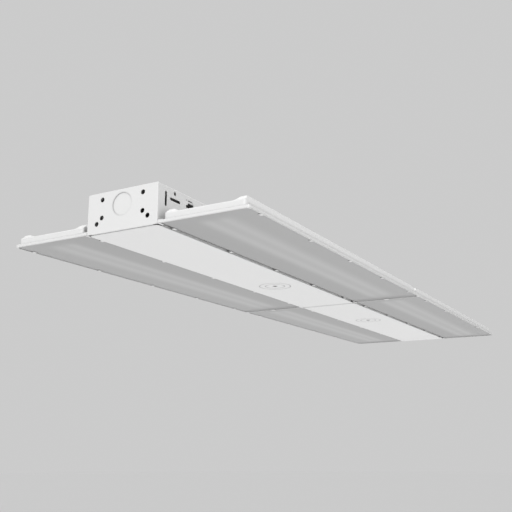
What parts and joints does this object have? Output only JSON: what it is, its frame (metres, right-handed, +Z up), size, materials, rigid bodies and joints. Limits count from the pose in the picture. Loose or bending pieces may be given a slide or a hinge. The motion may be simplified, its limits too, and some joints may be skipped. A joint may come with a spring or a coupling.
{
  "type": "high bay light",
  "caption": "Linear high bay light: pressed steel wings with frosted lenses on both sides of a long driver channel, white, with end holes, slots and sensor knockouts.",
  "frame": {"origin": "middle of the fixture's length and width, at the outer face of the access covers, which is the lowest surface", "axes": "+X along the fixture's length, away from the end nearest the viewer in the picture; +Y across the wings, towards the picture's left; +Z up, towards the driver channel's roof"},
  "size_m": [1.168, 0.344, 0.0508],
  "materials": {
    "pan_paint": "semi-gloss white powder coat",
    "channel_paint": "semi-gloss white powder coat",
    "end_cap_paint": "semi-gloss white powder coat",
    "cover_paint": "semi-gloss white powder coat",
    "splice_paint": "semi-gloss white powder coat",
    "frosted_lens": "frosted diffusing acrylic",
    "board_white": "white solder mask",
    "emitter_phosphor": "satin phosphor",
    "socket_plastic": "satin",
    "driver_aluminium": "satin",
    "potting": "matte",
    "terminal_plastic": "satin",
    "output_lead": "satin",
    "supply_lead": "satin",
    "bushing_plastic": "matte",
    "earth_screw": "green passivated",
    "rivet_aluminium": "satin",
    "screw_zinc": "zinc plated"
  },
  "bodies": {
    "root": {"block_screws": "screw_zinc", "board_far_left": "board_white", "board_far_right": "board_white", "board_near_left": "board_white", "board_near_right": "board_white", "board_screws": "screw_zinc", "bushings": "bushing_plastic", "cap_rivets": "rivet_aluminium", "cap_screws": "screw_zinc", "channel": "channel_paint", "channel_rivets": "rivet_aluminium", "cover_far": "cover_paint", "cover_near": "cover_paint", "driver_case_far": "driver_aluminium", "driver_case_near": "driver_aluminium", "driver_core_far": "potting", "driver_core_near": "potting", "driver_screws": "screw_zinc", "earth_screw": "earth_screw", "emitters_far_left": "emitter_phosphor", "emitters_far_right": "emitter_phosphor", "emitters_near_left": "emitter_phosphor", "emitters_near_right": "emitter_phosphor", "end_cap_far": "end_cap_paint", "end_cap_near": "end_cap_paint", "lead_far_left": "output_lead", "lead_far_right": "output_lead", "lead_near_left": "output_lead", "lead_near_right": "output_lead", "lens_far_left": "frosted_lens", "lens_far_right": "frosted_lens", "lens_near_left": "frosted_lens", "lens_near_right": "frosted_lens", "pan_far": "pan_paint", "pan_near": "pan_paint", "socket_far_left": "socket_plastic", "socket_far_right": "socket_plastic", "socket_near_left": "socket_plastic", "socket_near_right": "socket_plastic", "splice_left": "splice_paint", "splice_right": "splice_paint", "splice_rivets": "rivet_aluminium", "supply_leads": "supply_lead", "terminal_block": "terminal_plastic"}
  },
  "joints": []
}
